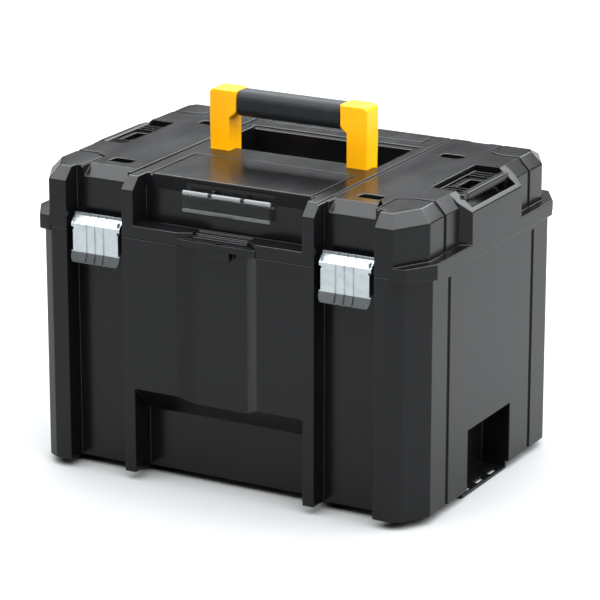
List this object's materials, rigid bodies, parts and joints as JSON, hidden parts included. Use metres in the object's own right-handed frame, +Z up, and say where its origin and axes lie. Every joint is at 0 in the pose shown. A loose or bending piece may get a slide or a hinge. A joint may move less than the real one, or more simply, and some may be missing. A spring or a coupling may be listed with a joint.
{
  "type": "stackable tool box with tote tray",
  "caption": "Deep stackable tool box with a hinged lid, folding top handle, front latches, side stacking clips, label window and a lift-out tote tray.",
  "frame": {"origin": "on the ground, under the centre of the box", "axes": "+Z up, the front with the latches faces -Y, +X is the box's right-hand side seen from the front"},
  "size_m": [0.44, 0.3269, 0.371],
  "materials": {
    "black_plastic": "fine satin grain",
    "yellow_plastic": "semi gloss",
    "soft_grip": "satin",
    "grey_plastic": "fine satin grain",
    "zinc_steel": "bright zinc",
    "pin_steel": "plain",
    "clear_plastic": "clear moulded"
  },
  "bodies": {
    "box": {"body_shell": "black_plastic", "hinge_pin_left": "pin_steel", "hinge_pin_right": "pin_steel", "latch_striker_left": "zinc_steel", "latch_striker_right": "zinc_steel"},
    "lid": {"lid_shell": "black_plastic", "handle_pin_left": "pin_steel", "handle_pin_right": "pin_steel", "latch_pin_left": "pin_steel", "latch_pin_right": "pin_steel", "clip_rod_left": "pin_steel", "clip_rod_right": "pin_steel"},
    "handle": {"handle_frame": "yellow_plastic", "handle_grip": "soft_grip"},
    "latch_left": {"latch_plate_left": "zinc_steel", "latch_hook_left": "zinc_steel"},
    "latch_right": {"latch_plate_right": "zinc_steel", "latch_hook_right": "zinc_steel"},
    "clip_left": {"clip_left": "black_plastic"},
    "clip_right": {"clip_right": "black_plastic"},
    "window": {"label_window": "clear_plastic"},
    "tray": {"tray_shell": "grey_plastic", "tray_handle": "yellow_plastic", "tray_divider_left": "grey_plastic", "tray_divider_right": "grey_plastic"}
  },
  "joints": [
    {"name": "lid_hinge", "type": "hinge", "parent": "box", "child": "lid", "pos_m": [0, 0.1615, 0.25], "axis": [-1, 0, 0], "range_deg": [0, 105]},
    {"name": "handle_fold", "type": "hinge", "parent": "lid", "child": "handle", "pos_m": [0, -0.0085, 0.2965], "axis": [-1, 0, 0], "range_deg": [0, 90]},
    {"name": "latch_left_swing", "type": "hinge", "parent": "lid", "child": "latch_left", "pos_m": [-0.1379, -0.1485, 0.2577], "axis": [-1, 0, 0], "range_deg": [0, 90]},
    {"name": "latch_right_swing", "type": "hinge", "parent": "lid", "child": "latch_right", "pos_m": [0.1379, -0.1485, 0.2577], "axis": [-1, 0, 0], "range_deg": [0, 90]},
    {"name": "clip_left_flip", "type": "hinge", "parent": "lid", "child": "clip_left", "pos_m": [-0.2037, 0, 0.3018], "axis": [0, -1, 0], "range_deg": [0, 100]},
    {"name": "clip_right_flip", "type": "hinge", "parent": "lid", "child": "clip_right", "pos_m": [0.2037, 0, 0.3018], "axis": [0, 1, 0], "range_deg": [0, 100]},
    {"name": "window_flip", "type": "hinge", "parent": "lid", "child": "window", "pos_m": [0, -0.1398, 0.2977], "axis": [-1, 0, 0], "range_deg": [0, 95]},
    {"name": "tray_lift", "type": "slide", "parent": "box", "child": "tray", "axis": [0, 0, 1], "range_m": [0, 0.028]}
  ]
}
